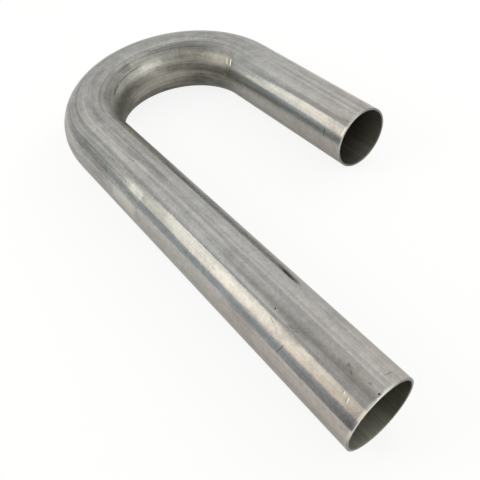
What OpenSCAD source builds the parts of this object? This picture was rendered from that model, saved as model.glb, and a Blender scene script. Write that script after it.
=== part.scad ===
// Return bend: one length of round steel tube, mandrel bent through a half turn,
// with a long leg and a short leg. It lies flat, with the bend in the XY plane.
//
// The origin is the centre of the long leg's open end. +Y runs up the long leg to the bend,
// +X points across to the short leg, and +Z is square to the plane of the bend.

/* [Tube] */
// Outside diameter of the tube
tube_od = 50.8; // [30:0.1:100]
// Wall of the straight tube
wall = 1.65; // [1:0.05:3]

/* [Bend] */
// Radius of the bend, measured to the centreline of the tube
bend_radius = 76.2; // [55:0.1:300]
// Angle that the tube turns through, which is a half turn less its springback
bend_angle = 179; // [150:0.5:180]
// Wall lost on the outside of the crown, where the tube stretches, and gained on the inside
crown_thinning = 0.25; // [0:0.05:0.6]
// Radius lost all along the bend, where the tube is drawn round the die
draw_down = 0.1; // [0.05:0.05:0.3]

/* [Legs] */
// Straight length of the long leg, from its open end to the start of the bend
long_leg = 304.8; // [60:0.1:900]
// Straight length of the short leg, from the end of the bend to its open end
short_leg = 139.7; // [40:0.1:600]

/* [Ends] */
// Width of the 45 degree edge break that the deburring leaves on both edges of each rim
edge_break = 0.3; // [0.1:0.05:0.45]

/* [Hidden] */
$fn = 128;

outer_radius = tube_od / 2;
bore_radius = outer_radius - wall;

// The bore of the bend has its own centre, moved towards the crown. It stays tangent to both
// straight bores, so the wall changes smoothly from the ends of the bend to its crown.
crown_angle = bend_angle / 2;
bore_shift = crown_thinning / (1 - cos(crown_angle));
bore_bend_radius = bend_radius - bore_shift * cos(crown_angle);
bore_run_on = bore_shift * sin(crown_angle);

// How far the bore is cut past each open end, so that it leaves no skin there
past_rim = 1;
// Each straight run tapers down to the bend, from just before the start of the turn to just after
taper_before = 1;
taper_after = 2;

// One straight run, from the bend at y = 0 along -Y to its open end. It tapers into the bend, and
// an edge break takes it to mouth_radius at the rim. A run that cuts carries on past the rim.
module straight_run(run_length, radius, mouth_radius, past_mouth) {
    profile = [
        [0, -taper_after],
        [radius - 2 * draw_down, -taper_after],
        [radius, taper_before],
        [radius, run_length - edge_break],
        [mouth_radius, run_length],
        if (past_mouth > 0) [mouth_radius, run_length + past_mouth],
        [0, run_length + past_mouth]
    ];
    rotate([-90, 0, 180])
        rotate_extrude()
            polygon(profile);
}

// The curved run, about the bend's centre, from the short leg's side round to the long leg's side
// at -X
module curved_run(radius, turn_radius) {
    rotate([0, 0, 180 - bend_angle])
        rotate_extrude(angle = bend_angle)
            translate([turn_radius, 0])
                circle(r = radius);
}

// A solid that follows the tube's path: long leg, bend, short leg. Each straight run carries on
// by run_on past the point where the centreline of the tube starts to turn.
module along_path(radius, turn_radius, run_on, mouth_radius, past_mouth = 0) {
    translate([turn_radius, long_leg + run_on, 0]) {
        translate([-turn_radius, 0, 0])
            straight_run(long_leg + run_on, radius, mouth_radius, past_mouth);
        curved_run(radius - draw_down, turn_radius);
        rotate([0, 0, 180 - bend_angle])
            translate([turn_radius, 0, 0])
                straight_run(short_leg + run_on, radius, mouth_radius, past_mouth);
    }
}

// The whole fitting: the outside of the tube less its bore
module bent_tube() {
    color([0.66, 0.65, 0.62])
        difference() {
            along_path(outer_radius, bend_radius, 0, outer_radius - edge_break);
            along_path(bore_radius, bore_bend_radius, bore_run_on,
                       bore_radius + edge_break, past_rim);
        }
}

bent_tube();
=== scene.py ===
import bpy
import math
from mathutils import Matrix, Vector, noise


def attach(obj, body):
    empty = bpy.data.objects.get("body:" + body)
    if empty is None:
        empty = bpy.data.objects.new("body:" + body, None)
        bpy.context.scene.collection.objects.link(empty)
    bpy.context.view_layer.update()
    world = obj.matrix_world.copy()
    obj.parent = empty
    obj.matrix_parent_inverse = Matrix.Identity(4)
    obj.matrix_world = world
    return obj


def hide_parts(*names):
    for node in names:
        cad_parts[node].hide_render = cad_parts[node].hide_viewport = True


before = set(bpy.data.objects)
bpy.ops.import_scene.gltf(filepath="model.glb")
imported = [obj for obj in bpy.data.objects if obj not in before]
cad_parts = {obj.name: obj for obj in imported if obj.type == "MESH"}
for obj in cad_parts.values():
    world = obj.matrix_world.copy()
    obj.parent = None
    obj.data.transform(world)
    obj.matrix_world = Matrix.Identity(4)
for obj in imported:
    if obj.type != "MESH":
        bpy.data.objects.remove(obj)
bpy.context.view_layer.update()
print("frame loaded")

# the tube is rolled straight along +Y, marked, then bent round the die
tube = {
    "outsideRadius": 0.0254,
    "wall": 0.00165,
    "longLeg": 0.3048,
    "shortLeg": 0.1397,
    "bendRadius": 0.0762,
    "bendAngle": math.radians(179),
    "crownThinning": 0.00025,         # wall lost outside the crown, gained inside it
    "drawDown": 0.0001,               # radius lost in the bend
    "drawRamp": 0.0015,               # length over which it is lost
    "rimBreak": 0.0003,               # deburred edge
    "rimSteps": 2,
    "ringPoints": 144,
    "skinCuts": 340,
    "boreCuts": 150,
    "markReaches": (2.4, 1.3, 0.9),   # mm round the marks, a pass of smaller faces for each
    "waves": (55, 14, 55),            # slight ones that rolling and bending leave in the wall
    "waveHeight": 0.00003,
    "smoothAngle": math.radians(22),
    "wrapScale": 2,                   # UV units to a metre
}
boreRadius = tube["outsideRadius"] - tube["wall"]
middleRadius = tube["outsideRadius"] - tube["wall"] / 2
bendEnd = tube["longLeg"] + tube["bendRadius"] * tube["bendAngle"]
tubeLength = bendEnd + tube["shortLeg"]
rimInset = tube["rimBreak"] * 1.2   # just past the deburred edge
touching = 1e-6                     # points nearer than this are one

# pits, scores, rubs and patches of painted highlight: (along in mm, round in degrees) of each end, half
# width and depth in mm, and how dark the mark looks (below 0 is brighter than the steel round it)
marks = [
    {"name": "pit", "ends": [(242.8, 95.9), (242.8, 95.9)], "half": 0.7, "depth": 0.16, "dark": 0.9},
    {"name": "pit", "ends": [(75.4, 107.3), (75.4, 107.3)], "half": 0.85, "depth": 0.22, "dark": 1},
    {"name": "pit", "ends": [(1.7, 95), (1.7, 95)], "half": 0.95, "depth": 0.25, "dark": 1},
    {"name": "score", "ends": [(352, 39.2), (380, 41)], "half": 0.6, "depth": 0.04, "dark": 0.8},
    {"name": "score", "ends": [(358, 42), (388, 45)], "half": 0.6, "depth": 0.04, "dark": 0.55},
    {"name": "score", "ends": [(372, 41.4), (424, 42.2)], "half": 0.6, "depth": 0.03, "dark": 0.65},
    {"name": "score", "ends": [(386, 55.5), (413, 58)], "half": 0.7, "depth": 0.04, "dark": 0.65},
    {"name": "score", "ends": [(430, 60.5), (466, 61.5)], "half": 0.8, "depth": 0.04, "dark": 0.55},
    {"name": "score", "ends": [(455, 66.5), (507, 68)], "half": 0.5, "depth": 0.03, "dark": 0.3},
    {"name": "gall", "ends": [(393.5, 61), (395.5, 48)], "half": 0.5, "depth": 0.03, "dark": 0.35},
    {"name": "gall", "ends": [(398.5, 61), (400, 49)], "half": 0.5, "depth": 0.03, "dark": 0.4},
    {"name": "gall", "ends": [(403, 61), (404.5, 50)], "half": 0.5, "depth": 0.03, "dark": 0.35},
    {"name": "gall", "ends": [(369, 52), (371, 43.5)], "half": 0.5, "depth": 0.03, "dark": 0.3},
    {"name": "witness line", "ends": [(469, 24), (469.2, 64)], "half": 0.6, "depth": 0.04, "dark": 0.6},
    {"name": "die tick", "ends": [(532.4, 46), (536, 32.5)], "half": 1, "depth": 0.04, "dark": -0.5},
    {"name": "die tick", "ends": [(538.8, 46.8), (543.2, 31.6)], "half": 0.95, "depth": 0.05, "dark": -0.95},
    {"name": "cross tick", "ends": [(664, 30), (665.4, 13)], "half": 0.6, "depth": 0.06, "dark": 1},
    {"name": "cross tick", "ends": [(57, 133), (59, 149)], "half": 0.6, "depth": 0.05, "dark": 0.6},
    {"name": "nick", "ends": [(11.8, 121), (10.4, 128.3)], "half": 0.5, "depth": 0.05, "dark": -0.6},
    {"name": "nick", "ends": [(15.2, 120), (14.6, 123)], "half": 0.5, "depth": 0.04, "dark": -0.4},
    {"name": "scratch", "ends": [(7.4, 74.5), (6.2, 55)], "half": 0.35, "depth": 0.04, "dark": 0.5},
    {"name": "scratch", "ends": [(74.7, 118.1), (67.6, 124.4)], "half": 0.3, "depth": 0.03, "dark": 0.25},
    {"name": "scratch", "ends": [(67.6, 124.4), (64.2, 130.8)], "half": 0.3, "depth": 0.03, "dark": 0.2},
    {"name": "scuff", "ends": [(24.5, 97), (19, 94.5)], "half": 2.2, "depth": 0, "dark": 0.14},
    {"name": "scuff", "ends": [(24, 96.4), (22.6, 95.4)], "half": 0.9, "depth": 0.02, "dark": 0.45},
    {"name": "scuff", "ends": [(23.5, 102), (17, 99)], "half": 1.8, "depth": 0, "dark": 0.13},
    {"name": "scuff", "ends": [(20.5, 99.6), (19, 98.6)], "half": 0.8, "depth": 0.02, "dark": 0.35},
    {"name": "scuff", "ends": [(29, 99), (26, 95)], "half": 1.2, "depth": 0, "dark": 0.2},
    {"name": "scuff", "ends": [(10, 95), (7.5, 92.5)], "half": 0.9, "depth": 0.02, "dark": 0.35},
    {"name": "scuff", "ends": [(64, 112), (57, 108)], "half": 2, "depth": 0, "dark": 0.2},
    {"name": "scuff", "ends": [(71, 104), (65, 109)], "half": 1.4, "depth": 0, "dark": 0.2},
    {"name": "scratch", "ends": [(17.6, 101.6), (21, 97.2)], "half": 0.45, "depth": 0.03, "dark": 0.65},
    {"name": "scratch", "ends": [(21.2, 97.2), (24.4, 91.6)], "half": 0.45, "depth": 0.03, "dark": 0.55},
    {"name": "scratch", "ends": [(59.5, 116), (48.5, 96)], "half": 0.35, "depth": 0.02, "dark": 0.3},
    {"name": "roll line", "ends": [(-60, 88.8), (252, 88)], "half": 1.2, "depth": 0, "dark": 0.2},
    {"name": "roll line", "ends": [(196, 88.4), (312, 94)], "half": 1.2, "depth": 0, "dark": 0.21},
    {"name": "roll line", "ends": [(280, 93.6), (404, 91.2)], "half": 1.2, "depth": 0, "dark": 0.18},
    {"name": "roll line", "ends": [(-60, 85.2), (264, 85)], "half": 1.2, "depth": 0, "dark": 0.18},
    {"name": "roll line", "ends": [(212, 85.2), (302, 88.6)], "half": 1.3, "depth": 0, "dark": 0.22},
    {"name": "roll line", "ends": [(-40, 82.3), (184, 82.2)], "half": 1.2, "depth": 0, "dark": -0.15},
    {"name": "roll line", "ends": [(60, 91.7), (212, 91.2)], "half": 1.2, "depth": 0, "dark": -0.15},
    {"name": "roll line", "ends": [(178, 91.4), (304, 97.2)], "half": 1.2, "depth": 0, "dark": -0.22},
    {"name": "roll line", "ends": [(266, 96.8), (360, 95.6)], "half": 1.3, "depth": 0, "dark": -0.15},
    {"name": "roll line", "ends": [(-30, 104.6), (134, 104.2)], "half": 1.8, "depth": 0, "dark": 0.2},
    {"name": "roll line", "ends": [(20, 111.4), (124, 111.2)], "half": 1.2, "depth": 0, "dark": -0.15},
    {"name": "roll line", "ends": [(-40, 77.8), (112, 77.6)], "half": 1.2, "depth": 0, "dark": 0.12},
    {"name": "roll line", "ends": [(222, 110.2), (372, 110)], "half": 1.3, "depth": 0, "dark": 0.14},
    {"name": "roll line", "ends": [(232, 114.5), (334, 118.6)], "half": 1.4, "depth": 0, "dark": -0.18},
    {"name": "roll line", "ends": [(232, 82.3), (292, 84.6)], "half": 1.2, "depth": 0, "dark": -0.18},
    {"name": "roll line", "ends": [(540, 93.4), (730, 93)], "half": 1.2, "depth": 0, "dark": -0.13},
    {"name": "roll line", "ends": [(566, 86.2), (740, 86)], "half": 1.4, "depth": 0, "dark": 0.18},
    {"name": "roll line", "ends": [(552, 81.8), (740, 81.6)], "half": 1.2, "depth": 0, "dark": -0.15},
    {"name": "roll line", "ends": [(580, 77.4), (690, 77.4)], "half": 1.2, "depth": 0, "dark": 0.1},
    {"name": "rub", "ends": [(318, 56), (404, 52)], "half": 10, "depth": 0, "dark": 0.3},
    {"name": "rub", "ends": [(300, 80), (420, 76)], "half": 13, "depth": 0, "dark": 0.1},
    {"name": "rub", "ends": [(434, 55), (532, 55)], "half": 6.5, "depth": 0, "dark": 0.27},
    {"name": "rub", "ends": [(440, 43), (486, 41)], "half": 7.5, "depth": 0, "dark": 0.24},
    {"name": "rub", "ends": [(254, 146), (304, 140)], "half": 6.5, "depth": 0, "dark": 0.2},
    {"name": "rub", "ends": [(172, 127), (220, 124)], "half": 5.5, "depth": 0, "dark": 0.18},
    {"name": "rub", "ends": [(234, 122), (270, 121)], "half": 4.5, "depth": 0, "dark": 0.15},
    {"name": "rub", "ends": [(484, 50), (540, 48)], "half": 4.5, "depth": 0, "dark": 0.26},
    {"name": "rub", "ends": [(494, 40), (546, 38)], "half": 7.5, "depth": 0, "dark": 0.22},
    {"name": "rub", "ends": [(388, 55), (410, 52)], "half": 5, "depth": 0, "dark": 0.34},
    {"name": "die streak", "ends": [(474, 12.6), (540, 11)], "half": 2, "depth": 0, "dark": 0.3},
    {"name": "die streak", "ends": [(476, -7.6), (512, -10)], "half": 2.4, "depth": 0, "dark": 0.25},
    {"name": "die streak", "ends": [(478, -1.6), (526, -2)], "half": 1.3, "depth": 0, "dark": 0.2},
    {"name": "die streak", "ends": [(474, 4.4), (536, 3)], "half": 1.3, "depth": 0, "dark": -0.1},
    {"name": "die streak", "ends": [(480, -4.6), (534, -5.4)], "half": 1.3, "depth": 0, "dark": -0.14},
    {"name": "die streak", "ends": [(452, -20), (480, -20.6)], "half": 1.6, "depth": 0, "dark": 0.2},
    {"name": "die streak", "ends": [(446, 55), (516, 53)], "half": 1.3, "depth": 0, "dark": 0.36},
    {"name": "rub", "ends": [(426, 22), (478, 16)], "half": 5, "depth": 0, "dark": 0.2},
    {"name": "rub", "ends": [(596, 55), (734, 55)], "half": 2.6, "depth": 0, "dark": 0.26},
    {"name": "rub", "ends": [(654, 41), (714, 39)], "half": 8, "depth": 0, "dark": 0.17},
    {"name": "rub", "ends": [(140, 88), (264, 88)], "half": 14, "depth": 0, "dark": 0.05},
    {"name": "rub", "ends": [(598, 102), (640, 101.5)], "half": 2.4, "depth": 0, "dark": 0.13},
    {"name": "rub", "ends": [(648, 102), (694, 102)], "half": 2.4, "depth": 0, "dark": 0.13},
    {"name": "rub", "ends": [(670, 56), (698, 56)], "half": 4.5, "depth": 0, "dark": 0.24},
    {"name": "rub", "ends": [(671, 29), (698, 29)], "half": 3.5, "depth": 0, "dark": 0.2},
    # painted highlights: these patches lighten the steel towards cream where a reflection falls; they are no
    # mark on the steel
    {"name": "painted highlight", "ends": [(413, 36), (450, 33)], "half": 4.5, "depth": 0, "dark": -0.2},
    {"name": "painted highlight", "ends": [(376, -10), (460, -11)], "half": 5, "depth": 0, "dark": -0.22},
    {"name": "painted highlight", "ends": [(542, 42), (574, 42)], "half": 4.5, "depth": 0, "dark": -0.16},
    {"name": "painted highlight", "ends": [(550, 65), (710, 65)], "half": 3.5, "depth": 0, "dark": -0.18},
    {"name": "painted highlight", "ends": [(540, 21), (716, 21)], "half": 3, "depth": 0, "dark": -0.22},
    {"name": "painted highlight", "ends": [(208, 162), (250, 160)], "half": 8, "depth": 0, "dark": -0.4},
    {"name": "painted highlight", "ends": [(208, 130.6), (230, 128.8)], "half": 4.6, "depth": 0, "dark": -0.42},
]
flatRadius = tube["outsideRadius"] * 1000   # mm round the rolled-out skin to a radian
for mark in marks:
    mark["flat"] = [(a, math.radians(d) * flatRadius) for a, d in mark["ends"]]
    (a0, r0), (a1, r1) = mark["flat"]
    mark["low"] = (min(a0, a1), min(r0, r1))
    mark["high"] = (max(a0, a1), max(r0, r1))
pressedMarks = [mark for mark in marks if mark["depth"]]


def startEdit(piece):
    bpy.ops.object.select_all(action="DESELECT")
    piece.select_set(True)
    bpy.context.view_layer.objects.active = piece
    bpy.ops.object.mode_set(mode="EDIT")
    bpy.ops.mesh.select_mode(type="EDGE")
    bpy.ops.mesh.select_all(action="DESELECT")


def pickEdges(piece, wanted):
    bpy.ops.object.mode_set(mode="OBJECT")
    places = [v.co for v in piece.data.vertices]
    for edge in piece.data.edges:
        edge.select = wanted(places[edge.vertices[0]], places[edge.vertices[1]])
    bpy.ops.object.mode_set(mode="EDIT")


def rollTube(name):
    # one ring drawn up the outside, in over the far rim, back down the bore and out over the near rim
    bpy.ops.object.select_all(action="DESELECT")
    bpy.ops.mesh.primitive_circle_add(vertices=tube["ringPoints"], radius=tube["outsideRadius"],
                                      location=(0, 0, 0), rotation=(math.pi / 2, 0, 0))
    piece = bpy.context.active_object
    piece.name = name
    bpy.ops.object.transform_apply(location=True, rotation=True, scale=True)
    startEdit(piece)
    bpy.ops.mesh.select_all(action="SELECT")
    narrow = boreRadius / tube["outsideRadius"]
    for end, squeeze in ((tubeLength, narrow), (0.0, 1 / narrow)):
        bpy.ops.mesh.extrude_region_move(TRANSFORM_OT_translate={"value": (0, 2 * end - tubeLength, 0)})
        bpy.ops.mesh.extrude_region_move(TRANSFORM_OT_translate={"value": (0, 0, 0)})
        bpy.ops.transform.resize(value=(squeeze, 1, squeeze), center_override=(0, end, 0))
    bpy.ops.mesh.select_all(action="SELECT")
    bpy.ops.mesh.remove_doubles(threshold=touching)
    bpy.ops.mesh.normals_make_consistent(inside=False)
    for outside, cuts in ((True, tube["skinCuts"]), (False, tube["boreCuts"])):
        bpy.ops.mesh.select_all(action="DESELECT")
        pickEdges(piece, lambda a, b: abs(a.y - b.y) > tube["wall"]
                  and outside == (math.hypot(a.x, a.z) > middleRadius))
        bpy.ops.mesh.subdivide_edgering(number_cuts=cuts, interpolation="LINEAR")
    bpy.ops.object.mode_set(mode="OBJECT")
    return piece


def onRimEdge(a, b):
    atEnd = min(abs(a.y), abs(a.y - tubeLength)) < touching
    level = abs(a.y - b.y) < touching
    return atEnd and level and abs(math.hypot(a.x, a.z) - math.hypot(b.x, b.z)) < touching


def inBox(along, around, mark, reach):
    (lowA, lowR), (highA, highR) = mark["low"], mark["high"]
    return lowA - reach < along < highA + reach and lowR - reach < around < highR + reach


def markDistance(along, around, mark):
    # in mm on the rolled-out skin, with how far along the mark its nearest point lies, from 0 to 1
    (a0, r0), (a1, r1) = mark["flat"]
    da, dr = a1 - a0, r1 - r0
    size = da * da + dr * dr
    t = 0 if size == 0 else max(0, min(1, ((along - a0) * da + (around - r0) * dr) / size))
    return math.hypot(along - a0 - t * da, around - r0 - t * dr), t


def nearMark(co, reach):
    along, around = co.y * 1000, math.atan2(co.z, co.x) * flatRadius
    for mark in pressedMarks:
        if inBox(along, around, mark, reach) and markDistance(along, around, mark)[0] < reach:
            return True
    return False


def refineRoundMarks(piece):
    for reach in tube["markReaches"]:
        startEdit(piece)
        bpy.ops.mesh.select_mode(type="FACE")
        bpy.ops.object.mode_set(mode="OBJECT")
        found = 0
        for face in piece.data.polygons:
            c = face.center
            outside = math.hypot(c.x, c.z) > middleRadius
            face.select = outside and rimInset < c.y < tubeLength - rimInset and nearMark(c, reach)
            found += face.select
        bpy.ops.object.mode_set(mode="EDIT")
        bpy.ops.mesh.subdivide(number_cuts=1, quadcorner="STRAIGHT_CUT")
        bpy.ops.object.mode_set(mode="OBJECT")
        print("  refined", found, "faces within", reach, "mm of a mark")


bentTube = rollTube("bentTube")
print("tube rolled")

startEdit(bentTube)
pickEdges(bentTube, onRimEdge)
bpy.ops.mesh.bevel(offset=tube["rimBreak"], segments=tube["rimSteps"], affect="EDGES")
bpy.ops.object.mode_set(mode="OBJECT")
refineRoundMarks(bentTube)
print("rims deburred,", len(bentTube.data.polygons), "faces")


def smoothStep(x):
    x = max(0.0, min(1.0, x))
    return x * x * (3 - 2 * x)


def drawnDown(along):
    ramp = tube["drawRamp"]
    return smoothStep((along - tube["longLeg"]) / ramp + 0.5) * smoothStep((bendEnd - along) / ramp + 0.5)


def boreShift(along):
    # how far the bore's axis lies outside the tube's axis
    phi = (along - tube["longLeg"]) / tube["bendRadius"]
    if not 0 < phi < tube["bendAngle"]:
        return 0.0
    crown = tube["bendAngle"] / 2
    return tube["crownThinning"] * (math.cos(phi - crown) - math.cos(crown)) / (1 - math.cos(crown))


def bendPoint(u, along, w):
    # u is towards the inside of the bend, w is up
    if along <= tube["longLeg"]:
        return Vector((u, along, w))
    r = tube["bendRadius"]
    phi = min((along - tube["longLeg"]) / r, tube["bendAngle"])
    past = max(0.0, along - bendEnd)
    outward = Vector((-math.cos(phi), math.sin(phi), 0))
    onward = Vector((math.sin(phi), math.cos(phi), 0))
    centre = Vector((r, tube["longLeg"], 0))
    return centre + outward * (r - u) + onward * past + Vector((0, 0, w))


# painted highlight: one side of each rim is lightened towards cream, where it would reflect the bright
# surroundings
rimShine = {
    "long": {"turn": math.radians(118), "reach": 0.7, "glow": 1.0},
    "short": {"turn": math.radians(42), "reach": 0.7, "glow": 0.5},
}


def rimTone(along, turn):
    shine = rimShine["long" if along < rimInset else "short"]
    away = abs(math.remainder(turn - shine["turn"], 2 * math.pi))
    return -shine["glow"] * smoothStep(1.5 - away / shine["reach"])


def markedSkin(along, around):
    # how deep the marks go here, in mm, and the tone of the strongest; all but pits fade at their ends
    cut, tone = 0.0, 0.0
    for mark in marks:
        if inBox(along, around, mark, mark["half"]):
            away, t = markDistance(along, around, mark)
            ends = 1.0 if mark["name"] == "pit" else smoothStep(4 * t) * smoothStep(4 - 4 * t)
            cover = smoothStep(1.5 - 1.5 * away / mark["half"]) * max(ends, 0.15)
            cut += mark["depth"] * cover
            if abs(mark["dark"] * cover) > abs(tone):
                tone = mark["dark"] * cover
    return cut, tone


def shapeAndBend(piece):
    mesh = piece.data
    mesh.attributes.new("straightTube", "FLOAT_VECTOR", "POINT")
    mesh.attributes.new("markTone", "FLOAT", "POINT")
    straight, tones = mesh.attributes["straightTube"], mesh.attributes["markTone"]
    for v in mesh.vertices:
        u, along, w = v.co
        radius, turn = math.hypot(u, w), math.atan2(w, u)
        straight.data[v.index].vector = (u, along, w)
        outside = radius > middleRadius
        radius -= tube["drawDown"] * drawnDown(along)
        tone = 0.0
        # the rims take their painted highlight as their tone
        if not rimInset < along < tubeLength - rimInset:
            tone = rimTone(along, turn)
        elif outside:
            cut, tone = markedSkin(along * 1000, turn * flatRadius)
            wave = noise.noise(Vector([a * b for a, b in zip((u, along, w), tube["waves"])]))
            radius += wave * tube["waveHeight"] - cut / 1000
        tones.data[v.index].value = tone
        shift = 0.0 if outside else boreShift(along)
        v.co = bendPoint(radius * math.cos(turn) - shift, along, radius * math.sin(turn))
    mesh.update()


def wrapUv(piece):
    # u round the tube, v along it, for the direction of the grain
    mesh = piece.data
    straight = [a.vector.copy() for a in mesh.attributes["straightTube"].data]
    uv = mesh.uv_layers.new(name="tubeWrap")
    for face in mesh.polygons:
        middle = Vector((0, 0, 0))
        for i in face.vertices:
            middle += straight[i]
        middleTurn = math.atan2(middle.z, middle.x)
        for loop in face.loop_indices:
            p = straight[mesh.loops[loop].vertex_index]
            turn = math.atan2(p.z, p.x)
            turn += 2 * math.pi * round((middleTurn - turn) / (2 * math.pi))
            uv.data[loop].uv = (turn * tube["outsideRadius"] * tube["wrapScale"], p.y * tube["wrapScale"])


shapeAndBend(bentTube)
wrapUv(bentTube)
startEdit(bentTube)
bpy.ops.mesh.select_all(action="SELECT")
bpy.ops.mesh.normals_make_consistent(inside=False)
bpy.ops.object.mode_set(mode="OBJECT")
bpy.ops.object.shade_smooth_by_angle(angle=tube["smoothAngle"])
lowCorner, highCorner = bentTube.bound_box[0], bentTube.bound_box[6]
print("tube marked and bent, box", [round(x, 4) for x in (*lowCorner, *highCorner)])


def newMaterial(name):
    made = bpy.data.materials.new(name)
    made.use_nodes = True
    made.node_tree.nodes.clear()
    return made, made.node_tree


def attribute(tree, name, output):
    made = tree.nodes.new("ShaderNodeAttribute")
    made.attribute_name = name
    return made.outputs[output]


def parted(tree, place):
    made = tree.nodes.new("ShaderNodeSeparateXYZ")
    tree.links.new(place, made.inputs[0])
    return made.outputs["X"], made.outputs["Y"], made.outputs["Z"]


def grain(tree, source, scale, detail, rough):
    # noise drawn out along the tube
    mapping = tree.nodes.new("ShaderNodeMapping")
    mapping.inputs["Scale"].default_value = scale
    tree.links.new(source, mapping.inputs["Vector"])
    made = tree.nodes.new("ShaderNodeTexNoise")
    made.inputs["Scale"].default_value = 1.0
    made.inputs["Detail"].default_value = detail
    made.inputs["Roughness"].default_value = rough
    tree.links.new(mapping.outputs["Vector"], made.inputs["Vector"])
    return made.outputs["Fac"]


def fade(tree, source, span):
    # 0 at the first of the span, 1 at the second
    made = tree.nodes.new("ShaderNodeMapRange")
    made.interpolation_type = "SMOOTHSTEP"
    made.inputs["From Min"].default_value = span[0]
    made.inputs["From Max"].default_value = span[1]
    tree.links.new(source, made.inputs["Value"])
    return made.outputs["Result"]


def ramp(tree, source, stops):
    made = tree.nodes.new("ShaderNodeValToRGB")
    band = made.color_ramp
    while len(band.elements) < len(stops):
        band.elements.new(0.5)
    for element, (place, colour) in zip(band.elements, stops):
        element.position = place
        element.color = (*colour, 1)
    tree.links.new(source, made.inputs["Fac"])
    return made.outputs["Color"]


def blendColour(tree, amount, a, b):
    made = tree.nodes.new("ShaderNodeMix")
    made.data_type = "RGBA"
    tree.links.new(amount, made.inputs["Factor"])
    tree.links.new(a, made.inputs["A"])
    made.inputs["B"].default_value = (*b, 1)
    return made.outputs["Result"]


def sums(tree, kind, *values):
    made = tree.nodes.new("ShaderNodeMath")
    made.operation = kind
    for socket, value in zip(made.inputs, values):
        if hasattr(value, "default_value"):
            tree.links.new(value, socket)
        else:
            socket.default_value = value
    return made.outputs[0]


def times(tree, a, b):
    return sums(tree, "MULTIPLY", a, b)


def less(tree, a, b):
    return sums(tree, "SUBTRACT", a, b)


def weighted(tree, a, weight, base):
    return sums(tree, "MULTIPLY_ADD", a, weight, base)


def scaled(tree, colour, tone):
    made = tree.nodes.new("ShaderNodeVectorMath")
    made.operation = "SCALE"
    tree.links.new(colour, made.inputs[0])
    tree.links.new(tone, made.inputs["Scale"])
    return made.outputs["Vector"]


def bump(tree, height, strength, depth):
    made = tree.nodes.new("ShaderNodeBump")
    made.inputs["Strength"].default_value = strength
    made.inputs["Distance"].default_value = depth
    tree.links.new(height, made.inputs["Height"])
    return made


def wired(tree, colour, rough):
    shader = tree.nodes.new("ShaderNodeBsdfPrincipled")
    shader.inputs["Metallic"].default_value = 1.0
    tree.links.new(colour, shader.inputs["Base Color"])
    tree.links.new(rough, shader.inputs["Roughness"])
    out = tree.nodes.new("ShaderNodeOutputMaterial")
    tree.links.new(shader.outputs["BSDF"], out.inputs["Surface"])
    return shader


millSteel = {
    "cool": (0.410, 0.415, 0.402),
    "plain": (0.435, 0.429, 0.407),
    "warm": (0.468, 0.444, 0.414),
    "tan": (0.445, 0.408, 0.366),       # painted reflection of the warm floor, on the outer side of the long leg towards its end
    "handled": (0.462, 0.433, 0.398),   # near both ends
    "oily": (0.395, 0.385, 0.335),      # inside the bend
    "facingReflection": (0.430, 0.455, 0.460),     # painted reflection, bluer and a little lighter, where the short leg faces the long one
    "pitDark": (0.03, 0.029, 0.027),
    "burnishAndPaintedHighlight": (0.80, 0.785, 0.725),
    "edgeTint": (0.78, 0.78, 0.78, 1),
    "anisotropy": 0.22,
    # scale across, along and up the straight tube, then detail and roughness
    "fineGrain": ((1500, 10, 1500), 3, 0.6),
    "coarseGrain": ((360, 3, 360), 4, 0.6),
    "wideGrain": ((95, 3, 95), 3, 0.55),
    "mottle": ((150, 120, 150), 6, 0.65),
    "handling": ((42, 30, 42), 5, 0.6),
    "patches": ((120, 38, 120), 5, 0.65),
    "dapple": ((520, 420, 520), 3, 0.6),
    "scratches": ((2300, 13, 2300), 2, 0.5),
    # the part of a grain that shows
    "scratchSpan": (0.63, 0.72),
    "smudgeSpan": (0.54, 0.68),
    # where a finish, a painted shade or a painted reflection starts and where it is full, in metres across,
    # along or up the straight tube
    "rubStarts": (0.245, 0.315),
    "rubStops": (0.585, 0.635),
    "rubDrift": 0.12,
    "tanAcross": (-0.007, -0.017),
    "tanDrift": 0.01,
    "tanAlong": (0.18, 0.0),
    "handledFromEnd": (0.11, 0.01),
    "oilyAcross": (0.006, 0.02),
    "facingAcross": (0.0140, 0.0168),
    "facingAlong": (0.32, 0.48),
    "facingReflectionDrop": -0.0060,
    "facingReflectionAlong": (0.54, 0.58),
    "facingReflectionUp": (0.004, 0.008),
    "dullDrop": -0.0076,
    # painted shade on the low inside of the bend
    "insideAcross": (0.0175, 0.0240),
    "insideUp": (0.011, -0.001),
    "insideAlong": [(0.30, 0.345), (0.365, 0.39), (0.458, 0.486), (0.525, 0.56)],   # on, off, on, off
    # how much of each colour
    "mottleHue": 0.5,
    "tanAmount": 0.5,
    "handledAmount": 0.6,
    "oilyAmount": 0.8,
    # how light or dark each grain makes the steel
    "plainLight": 0.24,
    "fineLight": 0.38,
    "coarseLight": 0.55,
    "mottleLight": 0.45,
    "dappleLight": 0.45,
    "rubPatches": 1.3,
    "rubMiddle": 1.24,
    "rubLight": 0.62,
    # painted shade on the low inside of the bend
    "insideLight": -0.65,
    "smudgeLight": -0.28,
    "scratchDark": 0.06,
    "scratchRubbed": 0.26,
    # how rough each one makes it
    "plainRough": 0.08,
    "coarseRough": 0.08,
    "rubRough": 0.22,
    "smudgeRough": 0.10,
    "dullRough": 0.12,
    "markRough": 0.3,
    "grainBump": 0.05,
    "coarseBump": 0.6,
    "peelBump": 0.14,
    "bumpDepth": 0.0002,
}


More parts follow.
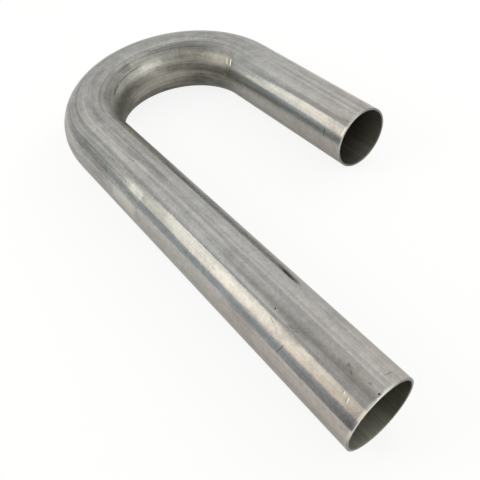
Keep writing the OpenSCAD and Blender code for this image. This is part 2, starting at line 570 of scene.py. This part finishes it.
def makeMillSteel():
    steel = millSteel
    made, tree = newMaterial("millSteel")
    place = attribute(tree, "straightTube", "Vector")
    tone = attribute(tree, "markTone", "Fac")
    x, y, z = parted(tree, place)
    fine = grain(tree, place, *steel["fineGrain"])
    coarse = grain(tree, place, *steel["coarseGrain"])
    wide = grain(tree, place, *steel["wideGrain"])
    mottle = grain(tree, place, *steel["mottle"])
    handling = grain(tree, place, *steel["handling"])
    patches = grain(tree, place, *steel["patches"])
    dapple = grain(tree, place, *steel["dapple"])
    scratches = fade(tree, grain(tree, place, *steel["scratches"]), steel["scratchSpan"])
    mottled = less(tree, mottle, 0.5)
    smudge = fade(tree, handling, steel["smudgeSpan"])

    # the die rubs the bend and a little of each leg dull
    drift = weighted(tree, handling, steel["rubDrift"], y)
    rub = less(tree, fade(tree, drift, steel["rubStarts"]), fade(tree, drift, steel["rubStops"]))

    hue = weighted(tree, mottled, steel["mottleHue"], wide)
    colour = ramp(tree, hue, [(0.3, steel["cool"]), (0.5, steel["plain"]), (0.7, steel["warm"])])
    # painted reflection: the outer side of the long leg, near its end, is tinted tan like the warm floor it
    # faces
    side = fade(tree, weighted(tree, mottle, steel["tanDrift"], x), steel["tanAcross"])
    side = times(tree, side, fade(tree, y, steel["tanAlong"]))
    colour = blendColour(tree, times(tree, side, steel["tanAmount"]), colour, steel["tan"])
    fromEnd = sums(tree, "MINIMUM", y, less(tree, tubeLength, y))
    handled = times(tree, fade(tree, fromEnd, steel["handledFromEnd"]), steel["handledAmount"])
    colour = blendColour(tree, handled, colour, steel["handled"])
    oily = times(tree, rub, fade(tree, x, steel["oilyAcross"]))
    colour = blendColour(tree, times(tree, oily, steel["oilyAmount"]), colour, steel["oily"])
    # painted reflection on the sides of the legs that face each other, lower down on the short one
    drop = fade(tree, y, steel["facingAlong"])
    facing = fade(tree, weighted(tree, drop, steel["facingReflectionDrop"], x), steel["facingAcross"])
    cooler = times(tree, facing, fade(tree, y, steel["facingReflectionAlong"]))
    cooler = times(tree, cooler, fade(tree, z, steel["facingReflectionUp"]))
    colour = blendColour(tree, cooler, colour, steel["facingReflection"])

    light = weighted(tree, fine, steel["fineLight"], steel["plainLight"])
    light = weighted(tree, coarse, steel["coarseLight"], light)
    light = weighted(tree, mottled, steel["mottleLight"], light)
    light = weighted(tree, dapple, steel["dappleLight"], light)
    rubLines = less(tree, weighted(tree, patches, steel["rubPatches"], coarse), steel["rubMiddle"])
    light = weighted(tree, times(tree, rub, rubLines), steel["rubLight"], light)
    # painted shade on the low inside of the bend near each end of the turn, where it faces the shaded floor
    # between the legs
    inside = times(tree, fade(tree, x, steel["insideAcross"]), fade(tree, z, steel["insideUp"]))
    firstOn, firstOff, lastOn, lastOff = [fade(tree, y, span) for span in steel["insideAlong"]]
    turning = sums(tree, "ADD", less(tree, firstOn, firstOff), less(tree, lastOn, lastOff))
    inside = times(tree, times(tree, inside, turning), coarse)
    light = weighted(tree, inside, steel["insideLight"], light)
    light = weighted(tree, times(tree, smudge, mottle), steel["smudgeLight"], light)
    scored = weighted(tree, rub, steel["scratchRubbed"], steel["scratchDark"])
    light = less(tree, light, times(tree, scratches, scored))
    colour = scaled(tree, colour, light)
    darker = sums(tree, "MAXIMUM", tone, 0.0)
    darker = times(tree, darker, sums(tree, "ADD", coarse, 0.5))   # the grain breaks up a mark
    colour = blendColour(tree, darker, colour, steel["pitDark"])
    # burnished nicks and die ticks, and the painted highlights, lighten the steel towards cream
    brighter = sums(tree, "MAXIMUM", times(tree, tone, -1.0), 0.0)
    colour = blendColour(tree, brighter, colour, steel["burnishAndPaintedHighlight"])

    rough = weighted(tree, coarse, steel["coarseRough"], steel["plainRough"])
    rough = weighted(tree, times(tree, rub, patches), steel["rubRough"], rough)
    rough = weighted(tree, smudge, steel["smudgeRough"], rough)
    dull = fade(tree, weighted(tree, drop, steel["dullDrop"], x), steel["facingAcross"])
    rough = weighted(tree, dull, steel["dullRough"], rough)
    rough = weighted(tree, darker, steel["markRough"], rough)

    height = weighted(tree, coarse, steel["coarseBump"], fine)
    lines = bump(tree, height, steel["grainBump"], steel["bumpDepth"])
    peel = bump(tree, dapple, steel["peelBump"], steel["bumpDepth"])
    tree.links.new(lines.outputs["Normal"], peel.inputs["Normal"])
    tangent = tree.nodes.new("ShaderNodeTangent")
    tangent.direction_type = "UV_MAP"
    tangent.uv_map = "tubeWrap"
    shader = wired(tree, colour, rough)
    shader.inputs["Anisotropic"].default_value = steel["anisotropy"]
    shader.inputs["Specular Tint"].default_value = steel["edgeTint"]
    tree.links.new(peel.outputs["Normal"], shader.inputs["Normal"])
    tree.links.new(tangent.outputs["Tangent"], shader.inputs["Tangent"])
    return made


# the bore's colour is painted shade: darker deeper in from each mouth, darker on one side, and darker high
# up at the short end
boreSteel = {
    "mouth": (0.46, 0.451, 0.383),
    "inside": (0.22, 0.216, 0.181),
    "deep": (0.123, 0.121, 0.101),
    "perMetre": 8.0,             # painted shade: the deep colour is full an eighth of a metre in
    "grain": ((520, 6, 520), 4, 0.6),
    "across": (0.022, -0.022),   # painted light and shade: paler on this side, darker on the other
    "acrossLight": 1.2,
    "plainLight": 0.45,
    "shortEnd": (0.4, 0.6),
    "up": (0.012, -0.030),       # painted shade: paler low down and darker high up at the short end
    "lowLight": 0.78,
    "highLight": -0.52,
    "grainRough": 0.15,
    "plainRough": 0.36,
}


def makeBoreSteel():
    bore = boreSteel
    made, tree = newMaterial("boreSteel")
    place = attribute(tree, "straightTube", "Vector")
    x, y, z = parted(tree, place)
    lines = grain(tree, place, *bore["grain"])
    fromEnd = sums(tree, "MINIMUM", less(tree, tubeLength, y), y)
    depth = times(tree, fromEnd, bore["perMetre"])
    # painted shade: darker with depth from the nearest mouth
    colour = ramp(tree, depth, [(0.0, bore["mouth"]), (0.35, bore["inside"]), (1.0, bore["deep"])])
    colour = scaled(tree, colour, sums(tree, "ADD", lines, 0.5))
    across = fade(tree, x, bore["across"])
    colour = scaled(tree, colour, weighted(tree, across, bore["acrossLight"], bore["plainLight"]))
    lower = weighted(tree, fade(tree, z, bore["up"]), bore["lowLight"], bore["highLight"])
    colour = scaled(tree, colour, weighted(tree, lower, fade(tree, y, bore["shortEnd"]), 1.0))
    wired(tree, colour, weighted(tree, lines, bore["grainRough"], bore["plainRough"]))
    return made


sawnRim = {
    "plain": (0.17, 0.166, 0.155),
    "dull": (0.26, 0.255, 0.24),
    "bright": (0.86, 0.84, 0.77),
    "grain": ((900, 900, 900), 3, 0.6),
    "grainBright": 0.6,
    "plainBright": 0.6,
    "grainRough": 0.2,
    "plainRough": 0.22,
}


def makeSawnRim():
    rim = sawnRim
    made, tree = newMaterial("sawnRim")
    where = tree.nodes.new("ShaderNodeTexCoord")
    lines = grain(tree, where.outputs["Object"], *rim["grain"])
    colour = ramp(tree, lines, [(0.3, rim["plain"]), (0.7, rim["dull"])])
    tone = attribute(tree, "markTone", "Fac")
    # painted highlight on one side of the rim, set by rimTone
    paintedRimHighlight = sums(tree, "MAXIMUM", times(tree, tone, -1.0), 0.0)
    paintedRimHighlight = times(tree, paintedRimHighlight, weighted(tree, lines, rim["grainBright"], rim["plainBright"]))
    colour = blendColour(tree, paintedRimHighlight, colour, rim["bright"])
    wired(tree, colour, weighted(tree, lines, rim["grainRough"], rim["plainRough"]))
    return made


def finishTube(piece):
    piece.data.materials.clear()
    for made in (makeMillSteel(), makeBoreSteel(), makeSawnRim()):
        piece.data.materials.append(made)
    straight = piece.data.attributes["straightTube"].data
    slack = 2e-5
    outer, inner = tube["outsideRadius"] - slack, boreRadius + slack
    edge = tube["rimBreak"] * 0.99
    for face in piece.data.polygons:
        radii = [math.hypot(straight[i].vector.x, straight[i].vector.z) for i in face.vertices]
        alongs = [straight[i].vector.y for i in face.vertices]
        inMouth = min(alongs) < edge or max(alongs) > tubeLength - edge
        if inMouth and min(radii) < outer and max(radii) > inner:
            face.material_index = 2
        elif max(radii) < inner:
            face.material_index = 1
        else:
            face.material_index = 0


finishTube(bentTube)
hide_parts("bent_tube")
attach(bentTube, "root")
print("steel finished")

studio = {
    "middle": Vector((0.05, 0.2, 0.0)),
    "away": 1.4,
    "wallGap": 0.04,   # the walls hang this far behind the window
}
# the left and right lamps only throw the shadows on the floor
lamps = {
    "rearLamp": {"turn": 148, "rise": 31, "size": 0.75, "light": 0.7,
                 "tint": (1.0, 0.98, 0.93), "inSteel": True},
    "leftLamp": {"turn": -62, "rise": 32, "size": 0.7, "light": 4.6,
                 "tint": (1.0, 0.98, 0.94), "inSteel": False},
    "rightLamp": {"turn": 82, "rise": 34, "size": 0.7, "light": 4.4,
                  "tint": (1.0, 0.99, 0.97), "inSteel": False},
}
paperFloor = {
    "height": -0.0254,
    "size": 8,
    "colour": (0.95, 0.935, 0.91, 1),
    "seenGlow": 0.86,      # white to the camera, with a faint shadow
    "mirrorGlow": 0.12,    # in the steel
}


def fromMiddle(turn, rise, away):
    # turn is from +Y towards +X, rise above the floor, in degrees
    a, e = math.radians(turn), math.radians(rise)
    direction = Vector((math.sin(a) * math.cos(e), math.cos(a) * math.cos(e), math.sin(e)))
    return studio["middle"] + away * direction


def hangLamp(name, settings):
    data = bpy.data.lights.new(name, "AREA")
    data.shape = "RECTANGLE"
    data.size = settings["size"]
    data.size_y = settings["size"]
    data.energy = settings["light"] * math.pi * data.size * data.size_y
    data.color = settings["tint"]
    lamp = bpy.data.objects.new(name, data)
    bpy.context.scene.collection.objects.link(lamp)
    lamp.location = fromMiddle(settings["turn"], settings["rise"], studio["away"])
    lamp.rotation_euler = (studio["middle"] - lamp.location).to_track_quat("-Z", "Y").to_euler()
    lamp.visible_camera = False
    lamp.visible_glossy = settings["inSteel"]


def hangSheet(name, columns):
    # a bright or grey sheet; each column is its foot, its head and its colour, or one for each
    points, faces, colours = [], [], []
    for i, (foot, head, *tones) in enumerate(columns):
        points += [foot, head]
        colours += [tones[0], tones[-1]]
        if i:
            faces.append((2 * i - 2, 2 * i, 2 * i + 1, 2 * i - 1))
    mesh = bpy.data.meshes.new(name)
    mesh.from_pydata(points, [], faces)
    mesh.attributes.new("sheetColour", "FLOAT_COLOR", "POINT")
    for spot, colour in zip(mesh.attributes["sheetColour"].data, colours):
        spot.color = (*colour, 1)
    sheet = bpy.data.objects.new(name, mesh)
    bpy.context.scene.collection.objects.link(sheet)
    sheet.visible_camera = False
    sheet.visible_shadow = False
    sheet.visible_diffuse = False   # it only shows in the steel
    made, tree = newMaterial(name)
    shader = tree.nodes.new("ShaderNodeEmission")
    tree.links.new(attribute(tree, "sheetColour", "Color"), shader.inputs["Color"])
    out = tree.nodes.new("ShaderNodeOutputMaterial")
    tree.links.new(shader.outputs[0], out.inputs["Surface"])
    mesh.materials.append(made)


for lampName, lampSettings in lamps.items():
    hangLamp(lampName, lampSettings)
# a window in its wall, a low blue-grey card on the floor before it and a grey strip overhead
far = studio["away"]
wall = far + studio["wallGap"]
hangSheet("windowSheet", [
    (fromMiddle(-90, 13, far), fromMiddle(-90, 49, far), (1.05, 0.98, 0.86)),
    (fromMiddle(-79, 13, far), fromMiddle(-79, 50.5, far), (1.24, 1.16, 1.03)),
    (fromMiddle(-67, 13, far), fromMiddle(-67, 49, far), (1.86, 1.77, 1.61)),
    (fromMiddle(-57, 13.5, far), fromMiddle(-56, 48, far), (1.97, 1.89, 1.73)),
    (fromMiddle(-50, 16, far), fromMiddle(-50, 47, far), (1.66, 1.61, 1.47), (2.04, 1.99, 1.85)),
    (fromMiddle(-45, 13, far), fromMiddle(-45.5, 46, far), (1.44, 1.41, 1.31), (1.94, 1.91, 1.79)),
    (fromMiddle(-40.5, 10, far), fromMiddle(-41, 44.4, far), (1.50, 1.47, 1.36), (2.06, 2.03, 1.90)),
    (fromMiddle(-38.5, 24, far), fromMiddle(-35.0, 41.2, far), (1.66, 1.63, 1.52), (1.90, 1.87, 1.76)),
    (fromMiddle(-35.8, 29, far), fromMiddle(-32.8, 38.4, far), (1.60, 1.57, 1.47), (1.72, 1.69, 1.59)),
])
hangSheet("wallOver", [
    (fromMiddle(-92, 45, wall), fromMiddle(-92, 60, wall), (0.60, 0.63, 0.64)),
    (fromMiddle(-70, 46, wall), fromMiddle(-70, 62, wall), (0.60, 0.63, 0.64)),
    (fromMiddle(-60, 46, wall), fromMiddle(-60, 60, wall), (0.62, 0.65, 0.66)),
    (fromMiddle(-48, 45, wall), fromMiddle(-48, 56, wall), (0.66, 0.69, 0.70)),
    (fromMiddle(-40, 43, wall), fromMiddle(-40, 51, wall), (0.66, 0.69, 0.70)),
    (fromMiddle(-34, 32, wall), fromMiddle(-34, 46, wall), (0.62, 0.65, 0.66)),
    (fromMiddle(-29, 31.5, wall), fromMiddle(-29, 42.5, wall), (0.66, 0.68, 0.69)),
    (fromMiddle(-24, 37, wall), fromMiddle(-24, 42.5, wall), (0.78, 0.79, 0.80)),
    (fromMiddle(-16, 41, wall), fromMiddle(-16, 45, wall), (0.90, 0.91, 0.91)),
    (fromMiddle(-8, 44, wall), fromMiddle(-8, 48, wall), (0.99, 0.99, 0.98)),
])
hangSheet("wallBeside", [
    (fromMiddle(-44, 2, wall), fromMiddle(-44, 28, wall), (0.48, 0.50, 0.51)),
    (fromMiddle(-34, 2, wall), fromMiddle(-34, 31, wall), (0.52, 0.54, 0.54)),
    (fromMiddle(-26, 2, wall), fromMiddle(-26, 29, wall), (0.62, 0.63, 0.63)),
    (fromMiddle(-18, 2, wall), fromMiddle(-18, 28, wall), (0.80, 0.80, 0.79)),
    (fromMiddle(5, 2, wall), fromMiddle(5, 32, wall), (0.92, 0.92, 0.91)),
    (fromMiddle(28, 2, wall), fromMiddle(28, 34, wall), (0.90, 0.90, 0.89)),
    (fromMiddle(45, 2, wall), fromMiddle(45, 30, wall), (0.98, 0.98, 0.97)),
])
hangSheet("wallBehind", [
    (fromMiddle(-84, 8, wall), fromMiddle(-84, 60, wall), (0.66, 0.65, 0.62)),
    (fromMiddle(-105, 8, wall), fromMiddle(-105, 62, wall), (0.62, 0.61, 0.57)),
    (fromMiddle(-130, 8, wall), fromMiddle(-130, 62, wall), (0.66, 0.65, 0.61)),
    (fromMiddle(-155, 8, wall), fromMiddle(-155, 60, wall), (0.76, 0.75, 0.72)),
    (fromMiddle(-172, 8, wall), fromMiddle(-172, 58, wall), (0.92, 0.91, 0.89)),
])
hangSheet("greyStrip", [
    (fromMiddle(-85, 60, far), fromMiddle(-85, 76, far), (0.70, 0.71, 0.71), (0.58, 0.58, 0.58)),
    (fromMiddle(-45, 58, far), fromMiddle(-45, 84, far), (0.84, 0.84, 0.83), (0.54, 0.54, 0.53)),
    (fromMiddle(-20, 54, far), fromMiddle(-20, 84, far), (0.88, 0.88, 0.87), (0.50, 0.50, 0.49)),
    (fromMiddle(0, 54, far), fromMiddle(0, 84, far), (0.90, 0.90, 0.89), (0.50, 0.50, 0.49)),
    (fromMiddle(30, 62, far), fromMiddle(30, 84, far), (1.0, 1.0, 0.98), (0.62, 0.62, 0.61)),
    (fromMiddle(60, 66, far), fromMiddle(60, 82, far), (1.0, 1.0, 0.98), (0.68, 0.68, 0.67)),
])
standing = paperFloor["height"] + 0.001   # just clear of the floor
hangSheet("lowCard", [
    ((-0.22, -0.10, standing), (-0.5, -0.10, 0.21), (0.14, 0.15, 0.16)),
    ((-0.22, 0.050, standing), (-0.5, 0.084, 0.27), (0.16, 0.17, 0.18)),
    ((-0.22, 0.072, standing), (-0.5, 0.106, 0.25), (0.38, 0.40, 0.42)),
    ((-0.24, 0.135, standing), (-0.5, 0.135, 0.205), (0.48, 0.52, 0.55)),
    ((-0.28, 0.165, standing), (-0.5, 0.165, 0.188), (0.53, 0.58, 0.62)),
    ((-0.28, 0.20, standing), (-0.5, 0.20, 0.180), (0.55, 0.61, 0.66)),
    ((-0.30, 0.28, standing), (-0.5, 0.28, 0.174), (0.62, 0.69, 0.75)),
    ((-0.46, 0.36, standing), (-0.5, 0.36, 0.172), (0.70, 0.78, 0.85)),
    ((-0.44, 0.45, standing), (-0.5, 0.45, 0.172), (0.60, 0.67, 0.73)),
    ((-0.32, 0.52, standing), (-0.5, 0.52, 0.178), (0.58, 0.64, 0.69)),
    ((-0.28, 0.62, standing), (-0.5, 0.62, 0.182), (0.53, 0.58, 0.62)),
    ((-0.40, 0.75, standing), (-0.5, 0.75, 0.172), (0.42, 0.45, 0.49)),
    ((-0.50, 1.05, standing), (-0.5, 1.05, 0.210), (0.43, 0.455, 0.465)),
])

bpy.ops.object.select_all(action="DESELECT")
bpy.ops.mesh.primitive_plane_add(size=paperFloor["size"], location=(0, 0, paperFloor["height"]))
floor = bpy.context.active_object
floor.name = "paperFloor"
paper, tree = newMaterial("paperFloor")
path = tree.nodes.new("ShaderNodeLightPath")
mirrored = sums(tree, "ADD", path.outputs["Is Glossy Ray"], path.outputs["Is Transmission Ray"])
seen = times(tree, path.outputs["Is Camera Ray"], paperFloor["seenGlow"])
seen = weighted(tree, mirrored, paperFloor["mirrorGlow"], seen)
diffuse = tree.nodes.new("ShaderNodeBsdfDiffuse")
diffuse.inputs["Color"].default_value = paperFloor["colour"]
glow = tree.nodes.new("ShaderNodeEmission")
glow.inputs["Color"].default_value = (1, 1, 1, 1)
glow.inputs["Strength"].default_value = 1.0
mix = tree.nodes.new("ShaderNodeMixShader")
tree.links.new(seen, mix.inputs["Fac"])
tree.links.new(diffuse.outputs["BSDF"], mix.inputs[1])
tree.links.new(glow.outputs["Emission"], mix.inputs[2])
out = tree.nodes.new("ShaderNodeOutputMaterial")
tree.links.new(mix.outputs["Shader"], out.inputs["Surface"])
floor.data.materials.append(paper)

studioWhite = {
    "fill": 0.7,    # what it throws on the floor and the tube
    "extra": 0.3,   # added where it is seen, so that it shows as plain white
}
world = bpy.data.worlds.new("studioWhite")
bpy.context.scene.world = world
world.use_nodes = True
tree = world.node_tree
white = tree.nodes["Background"]
white.inputs["Color"].default_value = (1, 1, 1, 1)
path = tree.nodes.new("ShaderNodeLightPath")
seen = sums(tree, "ADD", path.outputs["Is Camera Ray"], path.outputs["Is Glossy Ray"])
seen = sums(tree, "ADD", seen, path.outputs["Is Transmission Ray"])
tree.links.new(weighted(tree, seen, studioWhite["extra"], studioWhite["fill"]), white.inputs["Strength"])
bpy.context.scene.view_settings.view_transform = "Standard"
print("studio set")

photoCamera = {
    "place": (-0.10791, -0.07299, 0.29101),
    "turn": (41.6428, 4.2921, -39.3934),
    "lens": 42.438,
    "sensor": 36,
    "shift": (-0.06131, -0.02147),
    "nearest": 0.01,
}
data = bpy.data.cameras.new("photoCamera")
data.lens = photoCamera["lens"]
data.sensor_width = photoCamera["sensor"]
data.shift_x, data.shift_y = photoCamera["shift"]
data.clip_start = photoCamera["nearest"]
camera = bpy.data.objects.new("photoCamera", data)
bpy.context.scene.collection.objects.link(camera)
camera.location = photoCamera["place"]
camera.rotation_euler = [math.radians(a) for a in photoCamera["turn"]]
bpy.context.scene.camera = camera
print("camera set")
